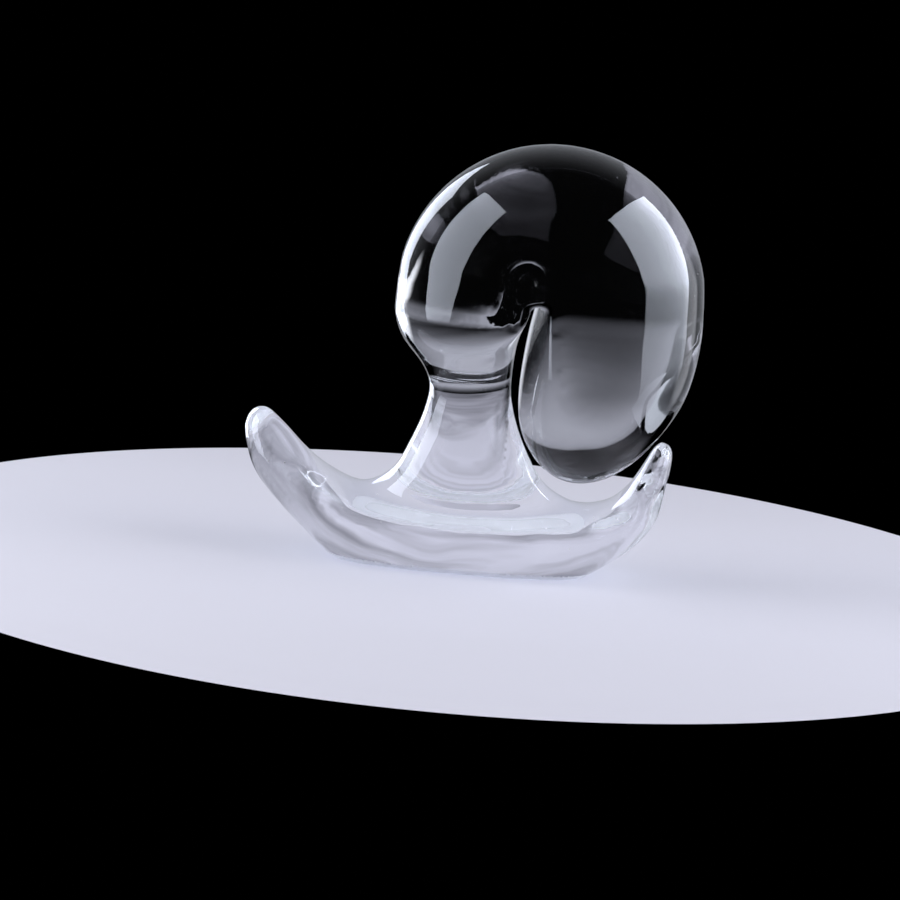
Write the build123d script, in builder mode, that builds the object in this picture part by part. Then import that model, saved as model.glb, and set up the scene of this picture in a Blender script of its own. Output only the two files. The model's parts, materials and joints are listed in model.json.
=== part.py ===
"""Hand-held form of solid clear glass: a fat bulb that bends over to one side,
a short neck, and a rocker-shaped foot with two upturned horns.

The real thing is one piece of glass, worked hot from three gathers. Each gather
is a node here, and the three meet face to face on flat fusion planes.
Frame: +Z up, +X along the foot, the bulb leans towards +X and -Y. The origin is
on the neck's axis, in the ground face that the foot rests on.
"""

import os
from math import atan2, cos, radians, sin

from build123d import *

# Foot, in mm
foot_mid_height = 18.7      # top of the saddle above the ground face
foot_ground_depth = 2.3     # how deep the hull was ground away to make the flat
foot_depth = 39.0           # widest, front to back
horn_reach = 55.4           # from the middle of the foot to the end of a horn
foot_offset = 2.2           # middle of the foot behind the neck's axis, away from the bend
horn_height = 37.4          # end of a horn above the ground face
shoulder_swell = 5.4        # how far the hull swells past a plain circle

# Shares of the foot along a horn: (share of the horn's angle, share of the
# swell, share of the thickness, share of the depth), from the middle outwards
saddle_stations = [
    (0.26, 0.38, 1.00, 0.98),
    (0.46, 0.92, 0.96, 0.90),
]
full_horn_stations = [
    (0.68, 0.48, 0.79, 0.73),
    (0.87, 0.28, 0.57, 0.55),
    (0.95, 0.13, 0.42, 0.40),
    (1.00, 0.00, 0.17, 0.19),
]
slim_horn_stations = [
    (0.68, 0.85, 0.60, 0.73),
    (0.87, 0.54, 0.45, 0.55),
    (0.95, 0.26, 0.35, 0.40),
    (1.00, 0.00, 0.17, 0.19),
]

# Neck, in mm
neck_length = 25.0          # from the fusion plane on the foot to the one under the bulb
neck_diameter = 20.0        # at its waist
waist_drop = 4.5            # waist below the fusion plane under the bulb
neck_top_diameter = 20.4
neck_base_width = 36.0      # along the foot
neck_base_depth = 29.0
flare_rise = 8.5            # half-way down the flare, above the fusion plane on the foot
flare_width = 27.6
flare_depth = 24.6
root_rise = 9.3             # fusion plane on the foot above the saddle
root_sink = 2.3             # where the flare runs out, below the top of the saddle
root_width = 58.0
root_depth = 34.0

# Bulb, in mm
bend_rise = 19.6            # bend's axis above the fusion plane under the bulb
bend_reach = 17.8           # bend's axis from the neck's axis, along the foot
bend_forward = 6.2          # bend's axis in front of the neck's axis
bend_radius = 15.4          # from the bend's axis to the middle of the gather
bend_turn = 24.0            # degrees that the bend is turned towards the front
gather_radius = 25.8        # the gather's thickness, as a radius
underside_overrun = 5.4     # how far past the fusion plane the near branch would round off
lobe_clearance = 8.5        # under the far branch, down to the level of the saddle
lobe_waist_radius = 22.4    # the far branch, half-way down
lobe_end_radius = 16.5      # the far branch, where its rounded end begins

# Levels, stacked up from the ground face
root_height = foot_mid_height - root_sink
neck_base_height = foot_mid_height + root_rise
flare_height = neck_base_height + flare_rise
neck_top_height = neck_base_height + neck_length
waist_height = neck_top_height - waist_drop
bend_height = neck_top_height + bend_rise
underside_drop = bend_rise + underside_overrun
lobe_drop = bend_height - foot_mid_height - lobe_clearance

os.makedirs("parts", exist_ok=True)

# The foot's middle line is a circle through the saddle and both horn ends
mid_thickness = foot_mid_height + foot_ground_depth
mid_line_height = (foot_mid_height - foot_ground_depth) / 2
horn_rise = horn_height - mid_line_height
rocker_radius = (horn_reach**2 + horn_rise**2) / (2 * horn_rise)
rocker_centre = mid_line_height + rocker_radius
horn_angle = atan2(horn_reach, rocker_centre - horn_height)


def foot_plane(angle, swell):
    """Plane across the foot at an angle from the middle, about the rocker's centre."""
    reach = rocker_radius + swell
    return Plane(
        origin=(reach * sin(angle) - foot_offset, 0, rocker_centre - reach * cos(angle)),
        x_dir=(0, 1, 0),
        z_dir=(cos(angle), 0, sin(angle)),
    )


middle = Plane(origin=(-foot_offset, 0, 0), x_dir=(0, 1, 0), z_dir=(1, 0, 0))


def half_foot(side, horn_stations):
    """The foot from its middle to one horn: side is 1 under the bend, -1 away from it."""
    lead_in = [(-angle, *shares) for angle, *shares in reversed(saddle_stations)]
    stations = lead_in + [(0, 0, 1, 1)] + saddle_stations + horn_stations
    with BuildPart() as half:
        for angle_share, swell_share, thickness_share, depth_share in stations:
            angle = side * angle_share * horn_angle
            with BuildSketch(foot_plane(angle, swell_share * shoulder_swell)):
                Ellipse(depth_share * foot_depth / 2, thickness_share * mid_thickness / 2)
        loft()
        split(bisect_by=middle, keep=Keep.TOP if side > 0 else Keep.BOTTOM)
    return half.part


slim_half = half_foot(1, slim_horn_stations)
full_half = half_foot(-1, full_horn_stations)

# Foot: the two halves, ground flat underneath, with the root that the neck is fused to
with BuildPart() as foot:
    add(slim_half)
    add(full_half)
    split(bisect_by=Plane.XY, keep=Keep.TOP)
    with BuildSketch(Plane.XY.offset(root_height)):
        Ellipse(root_width / 2, root_depth / 2)
    with BuildSketch(Plane.XY.offset(neck_base_height)):
        Ellipse(neck_base_width / 2, neck_base_depth / 2)
    loft(ruled=True)
    with BuildSketch(Plane.XY.offset(mid_line_height)):
        Ellipse(root_width / 2, root_depth / 2)
    extrude(amount=root_height - mid_line_height)
foot.part.label = "foot"
export_step(foot.part, "parts/foot.step")

# Neck: round at the waist, spreading to an oval on the foot
with BuildPart() as neck:
    with BuildSketch(Plane.XY.offset(neck_base_height)):
        Ellipse(neck_base_width / 2, neck_base_depth / 2)
    with BuildSketch(Plane.XY.offset(flare_height)):
        Ellipse(flare_width / 2, flare_depth / 2)
    with BuildSketch(Plane.XY.offset(waist_height)):
        Ellipse(neck_diameter / 2 + 0.001, neck_diameter / 2)
    with BuildSketch(Plane.XY.offset(neck_top_height)):
        Ellipse(neck_top_diameter / 2 + 0.001, neck_top_diameter / 2)
    loft()
neck.part.label = "neck"
export_step(neck.part, "parts/neck.step")

# Bulb: the gather goes up from the neck, over the bend's axis and down again
lean = Vector(cos(radians(bend_turn)), -sin(radians(bend_turn)), 0)
bend_centre = Vector(bend_reach, -bend_forward, bend_height)
bend_plane = Plane(origin=bend_centre, x_dir=lean, z_dir=(0, 0, 1))
near_branch = bend_centre - lean * bend_radius
far_branch = bend_centre + lean * bend_radius
near_section = Plane(origin=near_branch, x_dir=(1, 0, 0), z_dir=(0, -1, 0))
far_section = Plane(origin=far_branch, x_dir=(1, 0, 0), z_dir=(0, -1, 0))
cut_size = 4 * gather_radius

with BuildPart() as bulb:
    # Over the bend: half a turn of the gather, as far in as the bend's axis
    with BuildSketch(bend_plane):
        with Locations((-bend_radius, 0)):
            Circle(gather_radius)
        Rectangle(cut_size, cut_size, align=(Align.MIN, Align.CENTER), mode=Mode.SUBTRACT)
    revolve(axis=Axis(bend_centre, bend_plane.y_dir), revolution_arc=180)
    # Near branch: rounds in under the bulb, down to the fusion plane on the neck
    with BuildSketch(near_section):
        Ellipse(gather_radius, underside_drop)
        branch_height = bend_height - neck_top_height
        Rectangle(cut_size, branch_height, align=(Align.MIN, Align.MAX), mode=Mode.INTERSECT)
    revolve(axis=Axis(near_branch, (0, 0, 1)))
    # Far branch: hangs down beside the neck and ends round
    with BuildSketch(far_section):
        with BuildLine():
            outline = Spline(
                (gather_radius, 0),
                (lobe_waist_radius, -0.5 * lobe_drop),
                (lobe_end_radius, -0.82 * lobe_drop),
                (0, -lobe_drop),
                tangents=[(0, -1), (-1, 0)],
            )
            Polyline(outline @ 1, (0, 0), outline @ 0)
        make_face()
    revolve(axis=Axis(far_branch, (0, 0, 1)))
bulb.part.label = "bulb"
export_step(bulb.part, "parts/bulb.step")
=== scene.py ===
"""Clear solid glass form: bulb, neck and foot, gathered apart and fused into one body."""
import json
from math import cos, radians, sin

import bmesh
import bpy
from bpy.props import FloatProperty, FloatVectorProperty, IntProperty, PointerProperty
from mathutils import Matrix, Vector, noise

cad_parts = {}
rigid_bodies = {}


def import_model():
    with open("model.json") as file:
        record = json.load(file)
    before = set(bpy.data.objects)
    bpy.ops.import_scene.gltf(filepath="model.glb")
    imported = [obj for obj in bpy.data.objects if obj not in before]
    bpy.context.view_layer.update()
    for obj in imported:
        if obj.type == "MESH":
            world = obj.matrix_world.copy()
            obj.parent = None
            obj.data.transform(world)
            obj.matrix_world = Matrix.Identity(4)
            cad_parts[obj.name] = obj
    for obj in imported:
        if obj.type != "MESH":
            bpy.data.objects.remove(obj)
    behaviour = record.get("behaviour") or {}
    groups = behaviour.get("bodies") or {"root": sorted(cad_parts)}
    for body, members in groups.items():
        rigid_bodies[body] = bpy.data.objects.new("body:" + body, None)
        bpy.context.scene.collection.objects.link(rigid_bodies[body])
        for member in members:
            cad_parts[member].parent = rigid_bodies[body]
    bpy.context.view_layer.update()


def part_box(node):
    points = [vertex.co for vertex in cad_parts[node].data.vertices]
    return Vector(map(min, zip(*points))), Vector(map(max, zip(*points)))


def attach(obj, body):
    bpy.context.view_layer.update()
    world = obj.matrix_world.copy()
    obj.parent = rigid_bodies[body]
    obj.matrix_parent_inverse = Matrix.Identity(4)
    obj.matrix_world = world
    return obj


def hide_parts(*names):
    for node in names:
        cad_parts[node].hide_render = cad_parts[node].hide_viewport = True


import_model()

bl_info = {
    "name": "Solid glass form",
    "version": (1, 0, 0),
    "blender": (4, 5, 0),
    "location": "3D View > Sidebar > Glass form",
    "description": "Makes a bent glass bulb on a neck and a rocker foot, fused into one clear body",
    "category": "Object",
}

MM = 0.001
BODY = "root"
GATHERS = ("bulb", "neck", "foot")

bulb_low, bulb_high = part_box("bulb")


# ---------------------------------------------------------------- settings


class BulbSettings(bpy.types.PropertyGroup):
    """Sizes of the bulb."""

    crown_level: FloatProperty(
        name="Crown level",
        description="Height of the level where the crown is widest",
        default=73.4 * MM, unit="LENGTH", subtype="DISTANCE", precision=4,
    )
    cleft_level: FloatProperty(
        name="Cleft level",
        description="Height of the top of the cleft between the near branch and the lobe",
        default=75.0 * MM, unit="LENGTH", subtype="DISTANCE", precision=4,
    )
    crown_front: FloatProperty(
        name="Crown front",
        description="How far the crown's middle lies in front of the neck's axis",
        default=4.5 * MM, unit="LENGTH", subtype="DISTANCE", precision=4,
    )
    crown_depth: FloatProperty(
        name="Crown depth",
        description="Half of the crown's size from front to back",
        default=33.0 * MM, unit="LENGTH", subtype="DISTANCE", precision=4,
    )


class GlassSettings(bpy.types.PropertyGroup):
    """How the gathers are fused, and what the glass looks like."""

    grain: FloatProperty(
        name="Skin grain",
        description="Size of the faces of the fused body before it is fire polished",
        default=0.71 * MM, unit="LENGTH", subtype="DISTANCE", precision=5,
    )
    polish: IntProperty(
        name="Fire polish",
        description="How many times the fused skin is smoothed",
        default=38, min=0, max=200,
    )
    tint: FloatVectorProperty(
        name="Tint",
        description="Colour of the clear glass",
        default=(0.99, 0.995, 1.0), subtype="COLOR", min=0.0, max=1.0,
    )
    ground_tint: FloatVectorProperty(
        name="Ground tint",
        description="Colour of the glass where it is ground flat",
        default=(0.72, 0.73, 0.78), subtype="COLOR", min=0.0, max=1.0,
    )
    wave_depth: FloatProperty(
        name="Wave depth",
        description="Height of the soft waves that the hot skin set with",
        default=0.12 * MM, unit="LENGTH", subtype="DISTANCE", precision=5,
    )
    refraction: FloatProperty(
        name="Refractive index",
        description="Refractive index of the glass",
        default=1.5, min=1.0, max=2.5,
    )


class StageSettings(bpy.types.PropertyGroup):
    """Floor, lamps and camera."""

    floor_radius: FloatProperty(
        name="Floor radius",
        description="Radius of the pale round floor",
        default=0.16, unit="LENGTH", subtype="DISTANCE",
    )
    rim_glow: FloatProperty(
        name="Rim glow",
        description="Strength of the glow that lights the bulb's clear edge",
        default=1.5, min=0.0, max=10.0,
    )
    camera_distance: FloatProperty(
        name="Camera distance",
        description="Distance from the camera to the neck's axis",
        default=0.9, unit="LENGTH", subtype="DISTANCE",
    )
    camera_rise: FloatProperty(
        name="Camera rise",
        description="How far the camera looks down",
        default=radians(10.0), unit="ROTATION", subtype="ANGLE",
    )
    camera_roll: FloatProperty(
        name="Camera roll",
        description="How far the camera is rolled, so that the foot leans in the view",
        default=radians(5.0), unit="ROTATION", subtype="ANGLE",
    )
    field: FloatProperty(
        name="Field",
        description="Width of the view at the neck's axis",
        default=0.2368, unit="LENGTH", subtype="DISTANCE",
    )


# ---------------------------------------------------------------- bench tools


def smooth_stations(stations, steps):
    """The stations with steps - 1 more between each pair, on one smooth curve through them all."""
    made = []
    last = len(stations) - 1
    for i in range(last):
        before, start = stations[max(i - 1, 0)], stations[i]
        end, after = stations[i + 1], stations[min(i + 2, last)]
        for step in range(steps):
            t = step / steps
            made.append([
                0.5 * (2 * b + (c - a) * t + (2 * a - 5 * b + 4 * c - d) * t**2
                       + (3 * b - a - 3 * c + d) * t**3)
                for a, b, c, d in zip(before, start, end, after)
            ])
    made.append(list(stations[-1]))
    return made


def ramp(value, start, end):
    """0 on the start's side, 1 on the end's side, and a straight climb between."""
    return min(max((value - start) / (end - start), 0.0), 1.0)


def add_ring(bm, matrix, right, left, up, down, segments=64):
    """A ring of four joined quarter ellipses in the matrix's XY plane. Returns its edges."""
    made = bmesh.ops.create_circle(bm, cap_ends=False, segments=segments, radius=1.0)
    for vert in made["verts"]:
        vert.co.x *= right if vert.co.x > 0 else left
        vert.co.y *= up if vert.co.y > 0 else down
    bmesh.ops.transform(bm, matrix=matrix, verts=made["verts"])
    return list({edge for vert in made["verts"] for edge in vert.link_edges})


def join_rings(bm, rings):
    """Joins each ring to the next one."""
    for first, second in zip(rings, rings[1:]):
        bmesh.ops.bridge_loops(bm, edges=first + second)


def loft_rings(bm, rings):
    """Joins the rings in order and closes both ends."""
    join_rings(bm, rings)
    for ring in (rings[0], rings[-1]):
        bmesh.ops.holes_fill(bm, edges=ring, sides=0)


def cut_level(bm, level):
    """Cuts away what is below a level, and closes the cut."""
    cut = bmesh.ops.bisect_plane(
        bm, geom=bm.verts[:] + bm.edges[:] + bm.faces[:],
        plane_co=(0, 0, level), plane_no=(0, 0, 1), clear_inner=True,
    )
    edges = [item for item in cut["geom_cut"] if isinstance(item, bmesh.types.BMEdge)]
    bmesh.ops.holes_fill(bm, edges=edges, sides=0)


def level_ring(bm, level, left, middle, right, front, back):
    """A level ring with its widest line at middle, between left and right, and front and back."""
    centre = Vector((middle, (front + back) / 2, level)) * MM
    depth = (back - front) / 2 * MM
    return add_ring(
        bm, Matrix.Translation(centre), (right - middle) * MM, (middle - left) * MM, depth, depth
    )


def new_object(name, bm):
    """Turns a bmesh into an object with its faces outwards."""
    bmesh.ops.recalc_face_normals(bm, faces=bm.faces)
    mesh = bpy.data.meshes.new(name)
    bm.to_mesh(mesh)
    bm.free()
    made = bpy.data.objects.new(name, mesh)
    bpy.context.scene.collection.objects.link(made)
    return made


# ---------------------------------------------------------------- gathers

# Level rings in mm: height, left, widest line, right, front, back
NEAR_BRANCH = (
    (80, -20.8, 12.4, 12.9, -35.6, 26.6),
    (78, -21.4, 12.5, 13.1, -36.1, 27.1),
    (76, -21.8, 12.6, 13.2, -36.5, 27.6),
    (73.4, -22.1, 12.4, 13.1, -36.9, 27.9),
    (70, -22.3, 11.4, 12.6, -36.6, 27.7),
    (66, -21.8, 8.1, 11.7, -34.4, 26.4),
    (61.5, -20.2, 2.6, 10.7, -29.0, 22.6),
    (57.5, -17.4, -1.0, 10.3, -21.6, 18.0),
    (54, -14.4, -2.0, 10.4, -15.4, 14.0),
    (51, -12.5, -1.5, 10.2, -12.0, 11.8),
    (48, -11.4, -1.0, 10.2, -10.6, 10.6),
    (45, -11.2, -1.0, 10.2, -10.2, 10.2),
)
LOBE = (
    (80, 15.8, 18.2, 58.0, -36.9, 27.9),
    (78, 15.6, 18.2, 58.3, -37.2, 28.2),
    (76, 15.4, 18.2, 58.5, -37.4, 28.4),
    (73.4, 15.1, 18.4, 58.6, -37.5, 28.5),
    (70, 14.5, 18.8, 58.6, -37.7, 28.1),
    (66, 13.6, 19.6, 58.4, -38.0, 26.6),
    (58, 12.5, 21.6, 57.3, -38.4, 21.4),
    (50, 12.0, 24.4, 54.8, -38.0, 15.6),
    (42, 12.7, 27.0, 50.0, -35.9, 9.8),
    (35, 15.8, 28.6, 44.2, -31.5, 3.4),
    (30, 20.2, 28.8, 38.2, -25.6, -2.4),
    (27.8, 24.2, 28.8, 33.4, -20.0, -8.0),
    (26.9, 27.2, 28.8, 30.6, -15.6, -12.4),
)
NECK = (
    (56, -13.0, 0.0, 9.8, -12.0, 12.0),
    (52, -12.2, 0.0, 10.2, -10.8, 10.8),
    (49, -11.4, 0.0, 10.3, -10.4, 10.4),
    (45, -11.5, 0.0, 10.7, -10.2, 10.2),
    (40, -12.5, 0.0, 12.0, -10.6, 10.6),
    (34, -14.6, 0.0, 14.6, -11.6, 11.6),
    (28, -17.0, 0.0, 18.0, -12.4, 12.4),
    (24, -19.8, 0.0, 21.4, -12.9, 12.9),
    (21, -24.0, 0.0, 25.6, -13.1, 13.1),
    (18, -30.0, 0.0, 31.0, -13.0, 13.0),
    (12, -31.0, 0.0, 32.0, -12.0, 12.0),
)
# Rings across the foot in mm: the deck's x and height, the keel's x and height, and half the
# depth. Last comes the share of the way up from the keel where the ring is widest.
FOOT = (
    (-55.2, 38.0, -57.0, 37.4, 1.2, 0.5),
    (-54.2, 38.1, -58.0, 36.4, 3.0, 0.5),
    (-52.4, 37.2, -59.0, 33.2, 5.6, 0.5),
    (-48.3, 33.6, -58.4, 28.5, 8.4, 0.52),
    (-43.5, 29.0, -55.8, 21.5, 11.2, 0.56),
    (-38.5, 24.8, -50.5, 14.6, 14.0, 0.62),
    (-32.8, 21.2, -42.5, 7.0, 16.6, 0.66),
    (-26.0, 19.2, -31.0, -1.5, 18.4, 0.69),
    (-13.0, 18.7, -14.0, -5.5, 19.4, 0.70),
    (0.0, 18.7, 0.0, -6.0, 19.5, 0.70),
    (13.0, 18.7, 14.0, -5.5, 19.4, 0.70),
    (26.0, 18.7, 29.0, -2.5, 18.4, 0.69),
    (33.5, 18.7, 39.0, 3.2, 16.4, 0.66),
    (39.2, 20.8, 46.5, 9.3, 13.6, 0.62),
    (43.2, 24.9, 51.3, 15.8, 10.8, 0.56),
    (46.2, 30.0, 53.2, 23.5, 8.2, 0.52),
    (48.3, 34.3, 54.2, 30.5, 6.2, 0.5),
    (49.8, 36.8, 54.4, 35.0, 4.2, 0.5),
    (51.0, 37.8, 53.2, 37.1, 2.0, 0.5),
)
# How much wider than the CAD bulb the crown is to each side, and how far it is moved along
CROWN_SPREAD = 0.5 * MM
CROWN_SHIFT = 0.4 * MM


def make_levels(name, stations, steps=3):
    """A gather made of level rings."""
    bm = bmesh.new()
    rings = [level_ring(bm, *station) for station in smooth_stations(stations, steps)]
    loft_rings(bm, rings)
    return new_object(name, bm)


def make_crown(settings):
    """The dome over the bend: a ball drawn out to the bulb's width, and cut off below."""
    half_width = (bulb_high.x - bulb_low.x) / 2 + CROWN_SPREAD
    middle = (bulb_high.x + bulb_low.x) / 2 + CROWN_SHIFT
    rise = bulb_high.z - settings.crown_level
    bm = bmesh.new()
    bmesh.ops.create_uvsphere(bm, u_segments=160, v_segments=96, radius=1.0)
    bmesh.ops.scale(bm, vec=(half_width, settings.crown_depth, rise), verts=bm.verts)
    centre = (middle, -settings.crown_front, settings.crown_level)
    bmesh.ops.translate(bm, vec=centre, verts=bm.verts)
    cut_level(bm, settings.cleft_level)
    return new_object("crown_gather", bm)


def make_foot():
    """The rocker: rings across it from horn to horn, ground flat underneath."""
    bm = bmesh.new()
    rings = []
    for deck_x, deck_z, keel_x, keel_z, depth, widest in smooth_stations(FOOT, 3):
        deck = Vector((deck_x, 0, deck_z)) * MM
        keel = Vector((keel_x, 0, keel_z)) * MM
        rise = deck - keel
        across, along = Vector((0, 1, 0)), rise.normalized()
        matrix = Matrix((across, along, across.cross(along))).transposed().to_4x4()
        matrix.translation = keel + rise * widest
        above, below = rise.length * (1 - widest), rise.length * widest
        rings.append(add_ring(bm, matrix, depth * MM, depth * MM, above, below))
    loft_rings(bm, rings)
    cut_level(bm, 0.0)
    return new_object("foot_gather", bm)


# ---------------------------------------------------------------- hot work on the fused skin

# Places on the fused skin, in mm
CLEFT_MIDDLE = 14.3         # x of the cleft's top
NECK_SIDE = 10.8            # x of the neck's side that faces the lobe
FLARE_TOP = 40.0            # below this the neck spreads out under the lobe
LOBE_END = (28.8, -14.0)    # x and y of the lobe's lower end
LOBE_LEVEL = 22.0           # just under the lobe's lower end

# Oval bands round the neck that are drawn into soft fillets: bottom, top, half width and half
# depth in mm, and rounds of smoothing
FOOT_FILLET = (11, 29, 42, 19, 16)
BULB_FILLET = (43, 59, 24, 26, 10)

# Unevenness that the hands leave: waves in a metre, depth in mm, place in the noise
HAND_WAVES = (
    (55, 0.34, Vector((3, 1, 7))),
    (120, 0.13, Vector((1, 9, 4))),
)
BULB_SHARE = 0.12           # the bulb's share of that unevenness
LOBE_SHARE = 0.16           # what the lobe's lower end has on top of it


def smooth(bm, rounds, picked):
    """Smooths the points whose place, in mm, passes a test."""
    verts = [vert for vert in bm.verts if picked(vert.co / MM)]
    for _ in range(rounds):
        bmesh.ops.smooth_vert(
            bm, verts=verts, factor=0.5, use_axis_x=True, use_axis_y=True, use_axis_z=True
        )


def melt_seam(bm, level, rounds):
    """Melts the seam round the crown away, but not in the cleft."""
    for spread in (7, 6, 5, 4):
        smooth(bm, rounds, lambda co: (
            abs(co.z - level) < spread and abs(co.x - CLEFT_MIDDLE) > 11 - spread
        ))


def settle(bm, low, high, reach, depth, rounds):
    """Draws the hot glass into a soft fillet, in five bands that lie one inside the other."""
    for step in range(5):
        share = 1 - 0.09 * step
        bottom, top = low + 0.8 * step, high - 0.8 * step
        smooth(bm, rounds, lambda co: (
            bottom < co.z < top
            and (co.x / (reach * share))**2 + (co.y / (depth * share))**2 < 1
            and co.x < NECK_SIDE + max(0, FLARE_TOP - co.z) * 3
        ))


def round_lobe(bm, rounds):
    """Rounds the lobe's lower end off."""
    for reach in (15, 13, 11, 9):
        smooth(bm, rounds, lambda co: (
            LOBE_LEVEL + 2 < co.z < LOBE_LEVEL + reach
            and (co.x - LOBE_END[0])**2 + (co.y - LOBE_END[1])**2 < reach**2
        ))


def work_by_hand(bm):
    """Leaves the soft unevenness of a hand-worked foot; the flat underneath stays flat."""
    bm.normal_update()
    moves = []
    for vert in bm.verts:
        x, z = vert.co.x / MM, vert.co.z / MM
        amount = ramp(z, 0.6, 3.6) * (BULB_SHARE + (1 - BULB_SHARE) * ramp(z, 46, 32))
        if 10 < x < 45 and z > 25.5:
            amount = min(amount, BULB_SHARE + LOBE_SHARE * ramp(z, 58, 46))
        height = sum(deep * noise.noise(vert.co * rate + at) for rate, deep, at in HAND_WAVES)
        moves.append(vert.normal * height * amount * MM)
    for vert, move in zip(bm.verts, moves):
        vert.co += move


def fuse(gathers, settings, seam_level):
    """Fuses the gathers into one closed skin and fire polishes it."""
    bm = bmesh.new()
    for gather in gathers:
        mesh = gather.data
        bm.from_mesh(mesh)
        bpy.data.objects.remove(gather)
        bpy.data.meshes.remove(mesh)
    body = new_object("glass_body", bm)
    remesh = body.modifiers.new("Fuse", "REMESH")
    remesh.mode = "VOXEL"
    remesh.voxel_size = settings.grain
    polish = body.modifiers.new("Fire polish", "SMOOTH")
    polish.factor = 0.5
    polish.iterations = settings.polish
    shape = body.evaluated_get(bpy.context.evaluated_depsgraph_get())
    skin = bpy.data.meshes.new_from_object(shape)
    body.modifiers.clear()
    rough_skin, body.data = body.data, skin
    bpy.data.meshes.remove(rough_skin)

    bm = bmesh.new()
    bm.from_mesh(skin)
    melt_seam(bm, seam_level / MM, 20)
    settle(bm, *FOOT_FILLET)
    settle(bm, *BULB_FILLET)
    round_lobe(bm, 18)
    work_by_hand(bm)
    drop = min(vert.co.z for vert in bm.verts)
    bmesh.ops.translate(bm, vec=(0, 0, -drop), verts=bm.verts)
    bm.to_mesh(skin)
    bm.free()
    skin.polygons.foreach_set("use_smooth", [True] * len(skin.polygons))
    return body


# ---------------------------------------------------------------- node tools


def empty_tree(owner):
    """The node tree of a material or a world, emptied."""
    owner.use_nodes = True
    owner.node_tree.nodes.clear()
    return owner.node_tree


def add_node(tree, kind, inputs=None, **settings):
    """A node with its settings. Each input takes a value, or a link from another node."""
    made = tree.nodes.new(kind)
    for name, value in settings.items():
        setattr(made, name, value)
    for name, value in (inputs or {}).items():
        if isinstance(value, bpy.types.NodeSocket):
            tree.links.new(value, made.inputs[name])
        else:
            made.inputs[name].default_value = value
    return made


def add_math(tree, operation, first, second, clamp=False):
    """The result of a sum on two numbers."""
    made = add_node(
        tree, "ShaderNodeMath", {0: first, 1: second}, operation=operation, use_clamp=clamp
    )
    return made.outputs["Value"]


def add_ramp(tree, value, start, end, low=0.0, high=1.0, shape="SMOOTHSTEP"):
    """The value, brought from the range start to end into the range low to high."""
    made = add_node(
        tree, "ShaderNodeMapRange",
        {"Value": value, "From Min": start, "From Max": end, "To Min": low, "To Max": high},
        interpolation_type=shape,
    )
    return made.outputs["Result"]


def add_mix(tree, share, first, second):
    """Two shaders mixed: all first at a share of 0, all second at 1."""
    return add_node(tree, "ShaderNodeMixShader", {0: share, 1: first, 2: second}).outputs["Shader"]


def add_place(tree):
    """The object's own coordinates."""
    return add_node(tree, "ShaderNodeTexCoord").outputs["Object"]


# ---------------------------------------------------------------- glass


def skin_group():
    """Marks of handling on glass: smears, specks of dust and the waves of the hot skin."""
    group = bpy.data.node_groups.new("glass_skin", "ShaderNodeTree")
    for label, value in (("Base", 0.0), ("Smear", 0.05), ("Dust", 0.25), ("Wave", 1.0)):
        socket = group.interface.new_socket(label, in_out="INPUT", socket_type="NodeSocketFloat")
        socket.default_value = value
    for label in ("Roughness", "Height"):
        group.interface.new_socket(label, in_out="OUTPUT", socket_type="NodeSocketFloat")
    asked = add_node(group, "NodeGroupInput").outputs
    place = add_place(group)

    wipe = add_node(group, "ShaderNodeMapping", {
        "Vector": place, "Rotation": (0.5, 0.2, 0.9), "Scale": (1.0, 1.0, 5.0),
    })
    smear = add_node(group, "ShaderNodeTexNoise", {
        "Vector": wipe.outputs["Vector"], "Scale": 70.0, "Detail": 5.0, "Distortion": 0.6,
    })
    smeared = add_ramp(group, smear.outputs["Fac"], 0.48, 0.75, shape="LINEAR")
    smears = add_math(group, "MULTIPLY", smeared, asked["Smear"])

    dust = add_node(group, "ShaderNodeTexVoronoi", {
        "Vector": place, "Scale": 260.0, "Randomness": 1.0,
    })
    speck = add_ramp(group, dust.outputs["Distance"], 0.075, 0.055, shape="LINEAR")
    patch = add_node(group, "ShaderNodeTexNoise", {"Vector": place, "Scale": 45.0})
    patchy = add_ramp(group, patch.outputs["Fac"], 0.50, 0.62, shape="LINEAR")
    specks = add_math(group, "MULTIPLY", speck, patchy)
    dusted = add_math(group, "MULTIPLY", specks, asked["Dust"])

    marks = add_math(group, "ADD", smears, dusted)
    rough = add_math(group, "ADD", marks, asked["Base"], clamp=True)
    wave = add_node(group, "ShaderNodeTexNoise", {"Vector": place, "Scale": 38.0, "Detail": 1.0})
    waves = add_math(group, "MULTIPLY", wave.outputs["Fac"], asked["Wave"])
    add_node(group, "NodeGroupOutput", {"Roughness": rough, "Height": waves})
    return group


def make_glass_finish(name, settings, group, tint, transmission, marks):
    """A glass finish with handling marks, which lets lamps through to what lies behind it."""
    material = bpy.data.materials.new(name)
    tree = empty_tree(material)
    skin = add_node(tree, "ShaderNodeGroup", node_tree=group)
    for label, value in marks.items():
        skin.inputs[label].default_value = value
    bump = add_node(tree, "ShaderNodeBump", {
        "Strength": 1.0, "Distance": settings.wave_depth, "Height": skin.outputs["Height"],
    })
    glass = add_node(tree, "ShaderNodeBsdfPrincipled", {
        "Base Color": (*tint, 1.0), "IOR": settings.refraction,
        "Transmission Weight": transmission,
        "Roughness": skin.outputs["Roughness"], "Normal": bump.outputs["Normal"],
    })
    clear = add_node(tree, "ShaderNodeBsdfTransparent", {"Color": (0.85, 0.86, 0.87, 1.0)})
    path = add_node(tree, "ShaderNodeLightPath").outputs
    mix = add_mix(tree, path["Is Shadow Ray"], glass.outputs["BSDF"], clear.outputs["BSDF"])
    add_node(tree, "ShaderNodeOutputMaterial", {"Surface": mix})
    return material


# ---------------------------------------------------------------- stage

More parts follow.
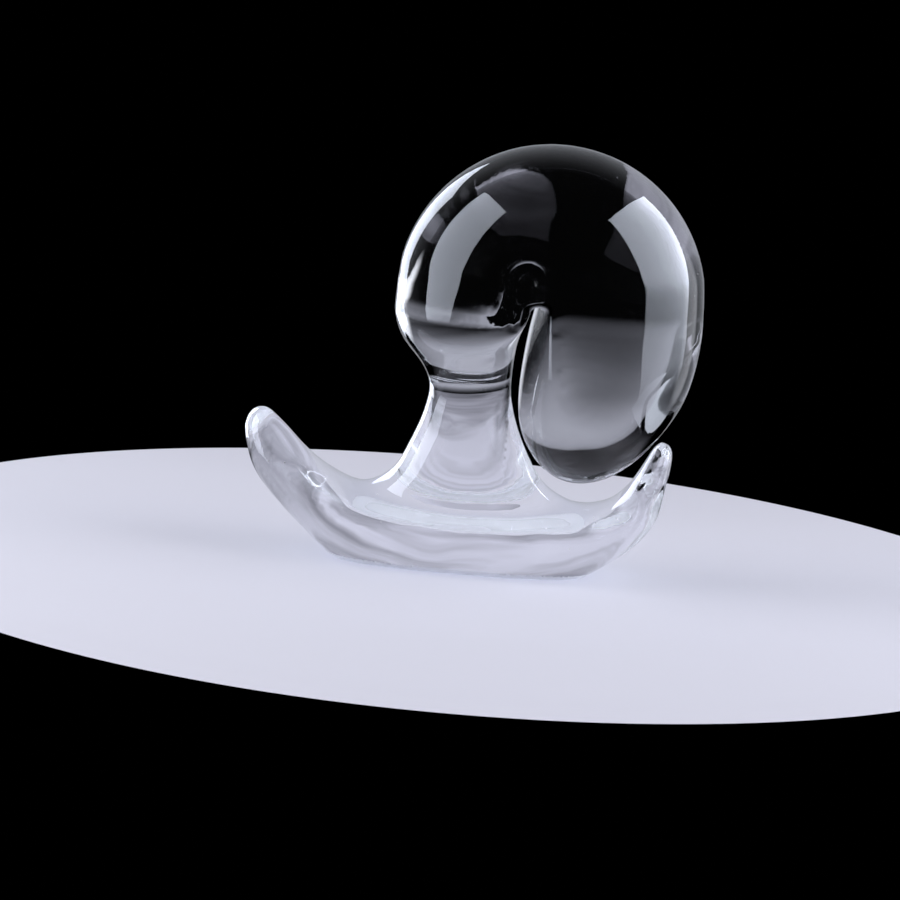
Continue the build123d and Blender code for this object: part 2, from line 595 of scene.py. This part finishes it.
BULB_MIDDLE = Vector((0.018, 0, 0.07))      # what the lamps and cards face
CAMERA_AIM = Vector((0, 0, 60 * MM))        # a point on the neck's axis, near the view's middle
AIM_RIGHT, AIM_UP = 7.0 * MM, 28.6 * MM     # how far right of and above the middle it is seen


def facing(place):
    """The turn that points a lamp or card from its place at the bulb."""
    return (BULB_MIDDLE - Vector(place)).to_track_quat("-Z", "Y")


def hide_from(item, *rays):
    """Hides an item from some kinds of ray."""
    for ray in rays:
        setattr(item, "visible_" + ray, False)


def make_floor_material():
    """Matt pale floor. Seen through the glass it darkens away from the object."""
    material = bpy.data.materials.new("pale_floor")
    tree = empty_tree(material)
    matt = add_node(tree, "ShaderNodeBsdfPrincipled", {
        "Base Color": (0.54, 0.54, 0.62, 1.0), "Roughness": 0.85,
    })
    reach = add_node(tree, "ShaderNodeVectorMath", {0: add_place(tree)}, operation="LENGTH")
    outer = add_ramp(tree, reach.outputs["Value"], 0.09, 0.14)
    path = add_node(tree, "ShaderNodeLightPath").outputs
    distant = add_ramp(tree, path["Ray Length"], 0.05, 0.09)
    further = add_math(tree, "MAXIMUM", outer, distant)
    seen = add_math(tree, "MAXIMUM", path["Is Transmission Ray"], path["Is Glossy Ray"])
    amount = add_math(tree, "MULTIPLY", seen, further)
    black = add_node(tree, "ShaderNodeEmission", {"Strength": 0.0})
    mix = add_mix(tree, amount, matt.outputs["BSDF"], black.outputs["Emission"])
    add_node(tree, "ShaderNodeOutputMaterial", {"Surface": mix})
    return material


def make_floor(settings):
    """A round pale floor, a hair below the object."""
    bm = bmesh.new()
    bmesh.ops.create_circle(bm, cap_ends=True, segments=256, radius=settings.floor_radius)
    bmesh.ops.translate(bm, vec=(0, 0, -0.05 * MM), verts=bm.verts)
    floor = new_object("floor", bm)
    floor.data.materials.append(make_floor_material())


def make_sheet(name, place, start, end, bottom, top):
    """A flat sheet that faces the bulb, with its four sides measured from its place."""
    bm = bmesh.new()
    bmesh.ops.create_grid(bm, x_segments=1, y_segments=1, size=0.5)
    bmesh.ops.scale(bm, vec=(end - start, top - bottom, 1), verts=bm.verts)
    bmesh.ops.translate(bm, vec=((start + end) / 2, (top + bottom) / 2, 0), verts=bm.verts)
    bmesh.ops.rotate(bm, matrix=facing(place).to_matrix(), verts=bm.verts)
    bmesh.ops.translate(bm, vec=place, verts=bm.verts)
    made = new_object(name, bm)
    hide_from(made, "camera", "diffuse", "shadow")
    return made


def make_card(name, place, sides, heights, strengths, fade, through_share):
    """A tall glowing card beside the object, which only glass and gloss show.

    Its two strengths are at its front and back edges, and it fades in between two heights. What
    is seen through the glass has a share of the glow.
    """
    card = make_sheet(name, place, *sides, *heights)
    edges = [vert.co.y for vert in card.data.vertices]
    material = bpy.data.materials.new(name)
    tree = empty_tree(material)
    where = add_node(tree, "ShaderNodeSeparateXYZ", {"Vector": add_place(tree)}).outputs
    glow = add_ramp(tree, where["Y"], min(edges), max(edges), *strengths)
    rise = add_ramp(tree, where["Z"], *fade)
    path = add_node(tree, "ShaderNodeLightPath").outputs
    through = add_ramp(
        tree, path["Is Transmission Ray"], 0.0, 1.0, 1.0, through_share, shape="LINEAR"
    )
    shown = add_math(tree, "MULTIPLY", add_math(tree, "MULTIPLY", glow, rise), through)
    lamp = add_node(tree, "ShaderNodeEmission", {
        "Color": (0.80, 0.86, 1.0, 1.0), "Strength": shown,
    })
    add_node(tree, "ShaderNodeOutputMaterial", {"Surface": lamp.outputs["Emission"]})
    card.data.materials.append(material)
    card.visible_transmission = through_share > 0


def make_rim_card(settings):
    """A soft oval glow behind and beside the bulb, which only its clear edge shows."""
    half_depth, half_height = 0.14, 0.25
    place = Vector((0.52, 0.27, 0.06))
    card = make_sheet("rim_card", place, -0.15, 0.15, -half_height, half_height)
    material = bpy.data.materials.new("rim_card")
    tree = empty_tree(material)
    centred = add_node(tree, "ShaderNodeMapping", {
        "Vector": add_place(tree),
        "Location": (0.0, -place.y / half_depth, -place.z / half_height),
        "Scale": (0.0, 1 / half_depth, 1 / half_height),
    })
    reach = add_node(
        tree, "ShaderNodeVectorMath", {0: centred.outputs["Vector"]}, operation="LENGTH"
    )
    soft = add_ramp(tree, reach.outputs["Value"], 1.0, 0.5, high=settings.rim_glow)
    lamp = add_node(tree, "ShaderNodeEmission", {
        "Color": (0.88, 0.91, 1.0, 1.0), "Strength": soft,
    })
    clear = add_node(tree, "ShaderNodeBsdfTransparent")
    both = add_node(tree, "ShaderNodeAddShader", {
        0: lamp.outputs["Emission"], 1: clear.outputs["BSDF"],
    })
    add_node(tree, "ShaderNodeOutputMaterial", {"Surface": both.outputs["Shader"]})
    card.data.materials.append(material)


def make_collar():
    """A low glowing band round the foot, which only the glass close to it shows. It is no lamp and
    lights nothing: its glow is painted light standing in for pale surroundings seen through the
    foot, stronger low down and patchy with painted shade of folds.
    """
    bm = bmesh.new()
    join_rings(bm, [
        add_ring(
            bm, Matrix.Translation((0, 0, level * MM)),
            right=0.074, left=0.078, up=0.042, down=0.042,
        )
        for level in (0.0, 16.0, 32.0, 48.0)
    ])
    collar = new_object("pale_collar", bm)
    material = bpy.data.materials.new("pale_collar")
    tree = empty_tree(material)
    place = add_place(tree)
    where = add_node(tree, "ShaderNodeSeparateXYZ", {"Vector": place}).outputs
    # Painted light: the glow is strongest at the bottom and fades towards the top
    height = add_ramp(tree, where["Z"], 0.010, 0.048, 0.62, 0.24, shape="LINEAR")
    # Painted shade: stretched noise makes the glow patchy, like the shade of folds in cloth
    stretch = add_node(tree, "ShaderNodeMapping", {"Vector": place, "Scale": (1.0, 1.0, 2.6)})
    folds = add_node(tree, "ShaderNodeTexNoise", {
        "Vector": stretch.outputs["Vector"], "Scale": 26.0, "Detail": 3.0, "Distortion": 1.2,
    })
    shade = add_ramp(tree, folds.outputs["Fac"], 0.35, 0.65, 0.50, 1.25, shape="LINEAR")
    glow = add_node(tree, "ShaderNodeEmission", {
        "Color": (0.81, 0.82, 1.0, 1.0), "Strength": add_math(tree, "MULTIPLY", height, shade),
    })
    clear = add_node(tree, "ShaderNodeBsdfTransparent")
    path = add_node(tree, "ShaderNodeLightPath").outputs
    near = add_ramp(tree, path["Ray Length"], 0.034, 0.052, 1.0, 0.0)
    mix = add_mix(tree, near, clear.outputs["BSDF"], glow.outputs["Emission"])
    add_node(tree, "ShaderNodeOutputMaterial", {"Surface": mix})
    collar.data.materials.append(material)
    hide_from(collar, "camera", "diffuse", "glossy", "shadow")


def make_softbox(name, place, width, height, power):
    """A soft rectangular lamp that lights matt surfaces and isn't seen."""
    lamp = bpy.data.lights.new(name, "AREA")
    lamp.shape = "RECTANGLE"
    lamp.size, lamp.size_y = width, height
    lamp.energy = power
    made = bpy.data.objects.new(name, lamp)
    bpy.context.scene.collection.objects.link(made)
    made.location = place
    made.rotation_euler = facing(place).to_euler()
    hide_from(made, "camera", "glossy", "transmission")


def make_world():
    """Dark surroundings, with a fill for matt surfaces and a faint sky that only the glass shows."""
    world = bpy.data.worlds.new("dark_studio")
    bpy.context.scene.world = world
    tree = empty_tree(world)
    path = add_node(tree, "ShaderNodeLightPath").outputs
    toward = add_node(tree, "ShaderNodeTexCoord").outputs["Generated"]
    where = add_node(tree, "ShaderNodeSeparateXYZ", {"Vector": toward}).outputs

    # Reflections show a glow, strongest behind the object
    dark = add_node(tree, "ShaderNodeBackground", {"Color": (0.0, 0.0, 0.0, 1.0)})
    around = add_node(tree, "ShaderNodeBackground", {
        "Color": (0.86, 0.90, 1.0, 1.0),
        "Strength": add_ramp(tree, where["Y"], 0.2, 0.95, 0.03, 0.45),
    })
    gloss = add_mix(
        tree, path["Is Reflection Ray"], dark.outputs["Background"], around.outputs["Background"]
    )

    # What goes straight through the glass, with few turns on the way, shows a sky overhead
    overhead = add_node(tree, "ShaderNodeBackground", {"Color": (0.36, 0.37, 0.44, 1.0)})
    few_turns = add_math(tree, "LESS_THAN", path["Ray Depth"], 3.5)
    straight = add_math(tree, "MULTIPLY", path["Is Transmission Ray"], few_turns)
    sky = add_math(tree, "MULTIPLY", add_ramp(tree, where["Z"], 0.03, 0.42), straight)
    glass_view = add_mix(tree, sky, gloss, overhead.outputs["Background"])

    fill = add_node(tree, "ShaderNodeBackground", {"Color": (0.25, 0.25, 0.27, 1.0)})
    mix = add_mix(tree, path["Is Diffuse Ray"], glass_view, fill.outputs["Background"])
    add_node(tree, "ShaderNodeOutputWorld", {"Surface": mix})


def make_camera(settings):
    """The camera looks level with the neck's axis, a little down, and is rolled."""
    rise, roll = settings.camera_rise, settings.camera_roll
    forward = Vector((0, cos(rise), -sin(rise)))
    side = Vector((1, 0, 0))
    up = side.cross(forward)
    rolled_side = side * cos(roll) + up * sin(roll)
    rolled_up = up * cos(roll) - side * sin(roll)
    centre = CAMERA_AIM - rolled_side * AIM_RIGHT - rolled_up * AIM_UP
    camera = bpy.data.cameras.new("camera")
    camera.sensor_width = 36.0
    camera.lens = camera.sensor_width * settings.camera_distance / settings.field
    camera.clip_start, camera.clip_end = 0.01, 20.0
    made = bpy.data.objects.new("camera", camera)
    bpy.context.scene.collection.objects.link(made)
    turn = Matrix((rolled_side, rolled_up, -forward)).transposed().to_4x4()
    made.matrix_world = Matrix.Translation(centre - forward * settings.camera_distance) @ turn
    bpy.context.scene.camera = made


# ---------------------------------------------------------------- operators


class GLASSFORM_OT_bulb(bpy.types.Operator):
    """Gather the bulb: near branch, crown and hanging lobe."""

    bl_idname = "glassform.bulb"
    bl_label = "Gather the bulb"

    def execute(self, context):
        make_crown(context.scene.glassform_bulb)
        make_levels("near_branch_gather", NEAR_BRANCH)
        make_levels("lobe_gather", LOBE)
        return {"FINISHED"}


class GLASSFORM_OT_neck(bpy.types.Operator):
    """Gather the neck with its flare."""

    bl_idname = "glassform.neck"
    bl_label = "Gather the neck"

    def execute(self, context):
        make_levels("neck_gather", NECK)
        return {"FINISHED"}


class GLASSFORM_OT_foot(bpy.types.Operator):
    """Gather the rocker foot and grind it flat underneath."""

    bl_idname = "glassform.foot"
    bl_label = "Gather the foot"

    def execute(self, context):
        make_foot()
        return {"FINISHED"}


class GLASSFORM_OT_fuse(bpy.types.Operator):
    """Fuse the gathers into one body of clear glass."""

    bl_idname = "glassform.fuse"
    bl_label = "Fuse the body"

    def execute(self, context):
        settings = context.scene.glassform_glass
        gathers = [item for item in context.scene.objects if item.name.endswith("_gather")]
        if not gathers:
            raise RuntimeError("there is no gather to fuse: make the bulb, neck and foot first")
        gathers.sort(key=lambda item: item.name)
        body = fuse(gathers, settings, context.scene.glassform_bulb.cleft_level)
        body.data.materials.clear()
        group = skin_group()
        body.data.materials.append(make_glass_finish(
            "clear_glass", settings, group, settings.tint, transmission=1.0,
            marks={"Base": 0.0, "Smear": 0.045, "Dust": 0.35, "Wave": 1.0},
        ))
        body.data.materials.append(make_glass_finish(
            "ground_glass", settings, group, settings.ground_tint, transmission=0.5,
            marks={"Base": 0.48, "Smear": 0.10, "Dust": 0.0, "Wave": 0.2},
        ))
        for face in body.data.polygons:
            looks_down, lies_low = face.normal.z < -0.6, face.center.z < 1.6 * MM
            face.material_index = int(looks_down and lies_low)
        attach(body, BODY)
        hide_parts(*GATHERS)
        return {"FINISHED"}


class GLASSFORM_OT_stage(bpy.types.Operator):
    """Set the floor, lamps, surroundings and camera."""

    bl_idname = "glassform.stage"
    bl_label = "Set the stage"

    def execute(self, context):
        settings = context.scene.glassform_stage
        context.scene.view_settings.view_transform = "Standard"
        make_floor(settings)
        make_world()
        for name, place in (
            ("left_softbox", (-0.55, -0.13, 0.36)),
            ("right_softbox", (0.58, -0.13, 0.36)),
        ):
            make_softbox(name, place, width=0.36, height=0.70, power=4.6)
        make_card(
            "left_card", (-0.55, -0.13, 0.34), sides=(-0.22, 0.18), heights=(-0.75, 0.37),
            strengths=(5.5, 6.6), fade=(-0.32, 0.02), through_share=0.08,
        )
        make_card(
            "right_card", (0.58, -0.13, 0.34), sides=(-0.18, 0.52), heights=(-0.62, 0.37),
            strengths=(7.0, 11.2), fade=(-0.14, 0.28), through_share=0.08,
        )
        make_card(
            "edge_card", (-0.38, 0.55, 0.08), sides=(-0.17, 0.17), heights=(-0.34, 0.40),
            strengths=(6.0, 4.8), fade=(-0.30, -0.05), through_share=0.0,
        )
        make_rim_card(settings)
        make_collar()
        make_camera(settings)
        return {"FINISHED"}


class GLASSFORM_PT_panel(bpy.types.Panel):
    """Lists the steps and their settings."""

    bl_idname = "GLASSFORM_PT_panel"
    bl_label = "Glass form"
    bl_space_type = "VIEW_3D"
    bl_region_type = "UI"
    bl_category = "Glass form"

    def draw(self, context):
        for step in STEPS:
            self.layout.operator(step.bl_idname)
        for holder, kind in SETTINGS:
            box = self.layout.box()
            for name in kind.__annotations__:
                box.prop(getattr(context.scene, holder), name)


SETTINGS = (
    ("glassform_bulb", BulbSettings),
    ("glassform_glass", GlassSettings),
    ("glassform_stage", StageSettings),
)
STEPS = (
    GLASSFORM_OT_bulb, GLASSFORM_OT_neck, GLASSFORM_OT_foot, GLASSFORM_OT_fuse, GLASSFORM_OT_stage,
)
CLASSES = (*(kind for _, kind in SETTINGS), *STEPS, GLASSFORM_PT_panel)


def register():
    for item in CLASSES:
        bpy.utils.register_class(item)
    for holder, kind in SETTINGS:
        setattr(bpy.types.Scene, holder, PointerProperty(type=kind))


def unregister():
    for holder, _ in SETTINGS:
        delattr(bpy.types.Scene, holder)
    for item in reversed(CLASSES):
        bpy.utils.unregister_class(item)


def main():
    register()
    bpy.ops.glassform.bulb()
    bpy.ops.glassform.neck()
    bpy.ops.glassform.foot()
    bpy.ops.glassform.fuse()
    bpy.ops.glassform.stage()


if __name__ == "__main__":
    main()
